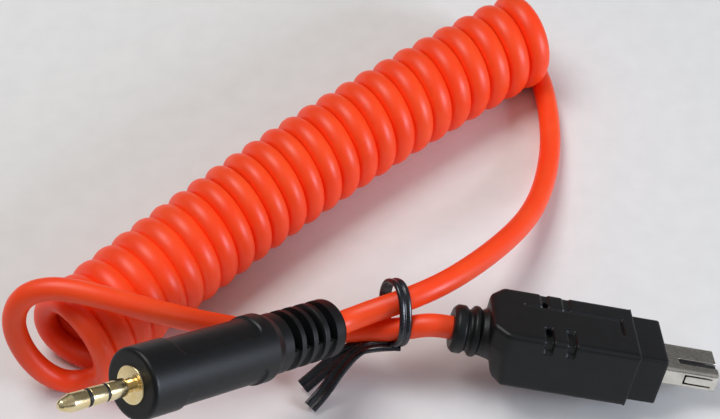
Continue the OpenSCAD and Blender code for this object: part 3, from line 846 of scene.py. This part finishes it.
def ribbon_section(width, thick, ridge):
    """Half-flat ribbon with two rounded ridges on its outer face, as (across, out) points."""
    outer = []
    for y in np.linspace(-1, 1, 33):
        lobe = max(0.0, 1 - ((abs(y) - 0.52) / 0.40) ** 2)
        edge = math.sqrt(max(0.0, 1 - max(0.0, (abs(y) - 0.86) / 0.14) ** 2))
        outer.append((y * width / 2, thick * (0.25 + 0.35 * edge) + ridge * math.sqrt(lobe)))
    inner = [(y * width / 2, 0.0) for y in np.linspace(0.92, -0.92, 9)]
    return outer + inner


def swept(name, line, out, section, slot, replaces=(), closed=False):
    """A section carried along a line; out is the direction of its outer face at each point."""
    tangent = np.gradient(line, axis=0)
    if closed:
        tangent = np.roll(line, -1, axis=0) - np.roll(line, 1, axis=0)
    points = []
    for centre, t, o in zip(line, tangent, out):
        t = unit(t)
        o = unit(o - (o @ t) * t)
        w = np.cross(t, o)
        for a, b in section:
            p = centre + a * w + b * o
            points.append((p[0], p[1], max(p[2], 0.02)))
    n, m = len(section), len(line)
    faces = skin(m, n)
    if closed:
        faces += [((m - 1) * n + k, (m - 1) * n + (k + 1) % n, (k + 1) % n, k) for k in range(n)]
    else:
        faces += [tuple(range(n)), tuple(range((m - 1) * n, m * n))]
    return set_mesh(name, points, faces, slot, crease=50, replaces=replaces)


# the ring stands round both tails, its opening turned a little towards the camera plug's side
RING_AT = np.array([-3.40, 13.55, 11.76]) + HOME
RING_LONG = unit((-0.012, 0.685, 0.728))
RING_WIDE = unit(np.cross(np.cross(RING_LONG, (0.426, -0.655, 0.624)), RING_LONG))
RING_A, RING_B, RING_POWER = 4.5, 3.3, 2.4


def ring_line(count):
    """The ring's middle line and the outward direction at each of its points."""
    line = []
    for a in np.linspace(0, 2 * math.pi, count, endpoint=False):
        c, s = math.cos(a), math.sin(a)
        c, s = (math.copysign(abs(v) ** (2 / RING_POWER), v) for v in (c, s))
        line.append(RING_AT + RING_A * c * RING_LONG + RING_B * s * RING_WIDE)
    line = evenly(np.array(line + line[:1]), 0.2)[:-1]
    along = np.roll(line, -1, axis=0) - np.roll(line, 1, axis=0)
    return line, np.cross(along, np.cross(RING_LONG, RING_WIDE))


def tie_ring():
    line, out = ring_line(240)
    section = ribbon_section(TIE_W, TIE_T, TIE_RIDGE)
    swept("tie_ribbon_loop", line, out, section, "tie_plastic", ("tie_loop",), True)
    axis = unit(np.cross(RING_LONG, RING_WIDE))
    turns = np.linspace(0, 2 * math.pi, 12, endpoint=False)
    circle = [(WIRE_R * math.cos(a), WIRE_R * math.sin(a)) for a in turns]
    for name, side, replaces in (("tie_wire_a", -1, ("tie_wire",)), ("tie_wire_b", 1, ())):
        inside = [p + side * WIRE_ACROSS * axis + WIRE_OUT * unit(o) for p, o in zip(line, out)]
        swept(name, np.array(inside), out, circle, "tie_steel", replaces, True)


tie_ring()

# from the tie to the camera: the loose ends turn their outer faces from it by a given roll
TO_CAMERA = unit((-0.023, -0.581, 0.813))


def tie_end(name, control, roll_start, roll_end, width):
    """One loose end of the tie: the ribbon runs off the ring, rolls as it goes and lies down."""
    line = evenly(spline(placed(control), 10), 0.35)
    out = []
    for t, roll in zip(np.gradient(line, axis=0), np.radians(np.linspace(roll_start, roll_end, len(line)))):
        t = unit(t)
        base = unit(TO_CAMERA - (TO_CAMERA @ t) * t)
        out.append(math.cos(roll) * base + math.sin(roll) * np.cross(t, base))
    return swept(name, line, np.array(out), ribbon_section(width, 0.6, 0.2), "tie_plastic")


tie_end("tie_end_long", [
    (-3.6, 10.9, 7.6), (-6.2, 11.0, 7.3), (-9.0, 11.0, 6.4), (-10.9, 10.7, 5.5), (-13.1, 9.9, 3.8),
    (-15.2, 8.8, 2.1), (-17.2, 7.6, 0.9)], 10, 0, 2.4)
tie_end("tie_end_short", [
    (-2.6, 10.2, 7.7), (-5.6, 10.3, 8.0), (-8.3, 10.2, 7.6), (-10.4, 9.2, 5.6), (-12.1, 8.1, 3.6),
    (-13.9, 6.3, 1.5), (-16.1, 4.1, 0.6)], 50, 5, 2.2)

# ---------------------------------------------------------------- carried-over parts
for node, slot in (
    ("jack_solder_tags", "tinned_brass"), ("jack_pre_mould", "inner_plastic"), ("jack_conductors", "copper_wire"),
    ("contact_block", "insulator"), ("contacts", "gold_plate"), ("connector_pre_mould", "inner_plastic"),
    ("connector_conductors", "copper_wire"),
):
    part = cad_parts[node]
    for place in part.material_slots:
        place.material = FINISHES[slot]

# ---------------------------------------------------------------- floor and light
bm = bmesh.new()
bmesh.ops.create_grid(bm, x_segments=8, y_segments=8, size=3.0)
floor_mesh = bpy.data.meshes.new("floor")
bm.to_mesh(floor_mesh)
bm.free()
floor = bpy.data.objects.new("floor", floor_mesh)
bpy.context.collection.objects.link(floor)
floor.data.materials.append(studio_paper())


def softbox(name, at_mm, size_mm, power, colour):
    """A square lamp that looks at the middle of the cord."""
    lamp = bpy.data.lights.new(name, "AREA")
    lamp.shape, lamp.size, lamp.energy = "SQUARE", size_mm * MM, power
    lamp.color = linear(colour)[:3]
    obj = bpy.data.objects.new(name, lamp)
    bpy.context.collection.objects.link(obj)
    obj.location = [c * MM for c in at_mm]
    obj.rotation_euler = (Vector((0, 0.025, 0.01)) - obj.location).to_track_quat("-Z", "Y").to_euler()
    return obj


softbox("window", (430, -150, 165), 185, 1.9, "#E3EDFF")
softbox("overhead_softbox", (-170, 120, 430), 240, 1.25, "#FFFFFF")

# the room: pale overhead, darker round the horizon
HORIZON_STRENGTH, ZENITH_STRENGTH = 0.06, 0.33
world = bpy.data.worlds.new("room")
bpy.context.scene.world = world
world.use_nodes = True
room = world.node_tree
height = add(room, "SeparateXYZ", {0: add(room, "TexCoord").outputs["Generated"]}).outputs["Z"]
brightness = add(room, "MapRange", {
    "Value": height, "From Min": 0.0, "From Max": 0.9, "To Min": HORIZON_STRENGTH, "To Max": ZENITH_STRENGTH,
})
background = room.nodes["Background"]
background.inputs["Color"].default_value = linear("#FFFFFF")
room.links.new(brightness.outputs["Result"], background.inputs["Strength"])

bpy.context.scene.view_settings.view_transform = "Standard"
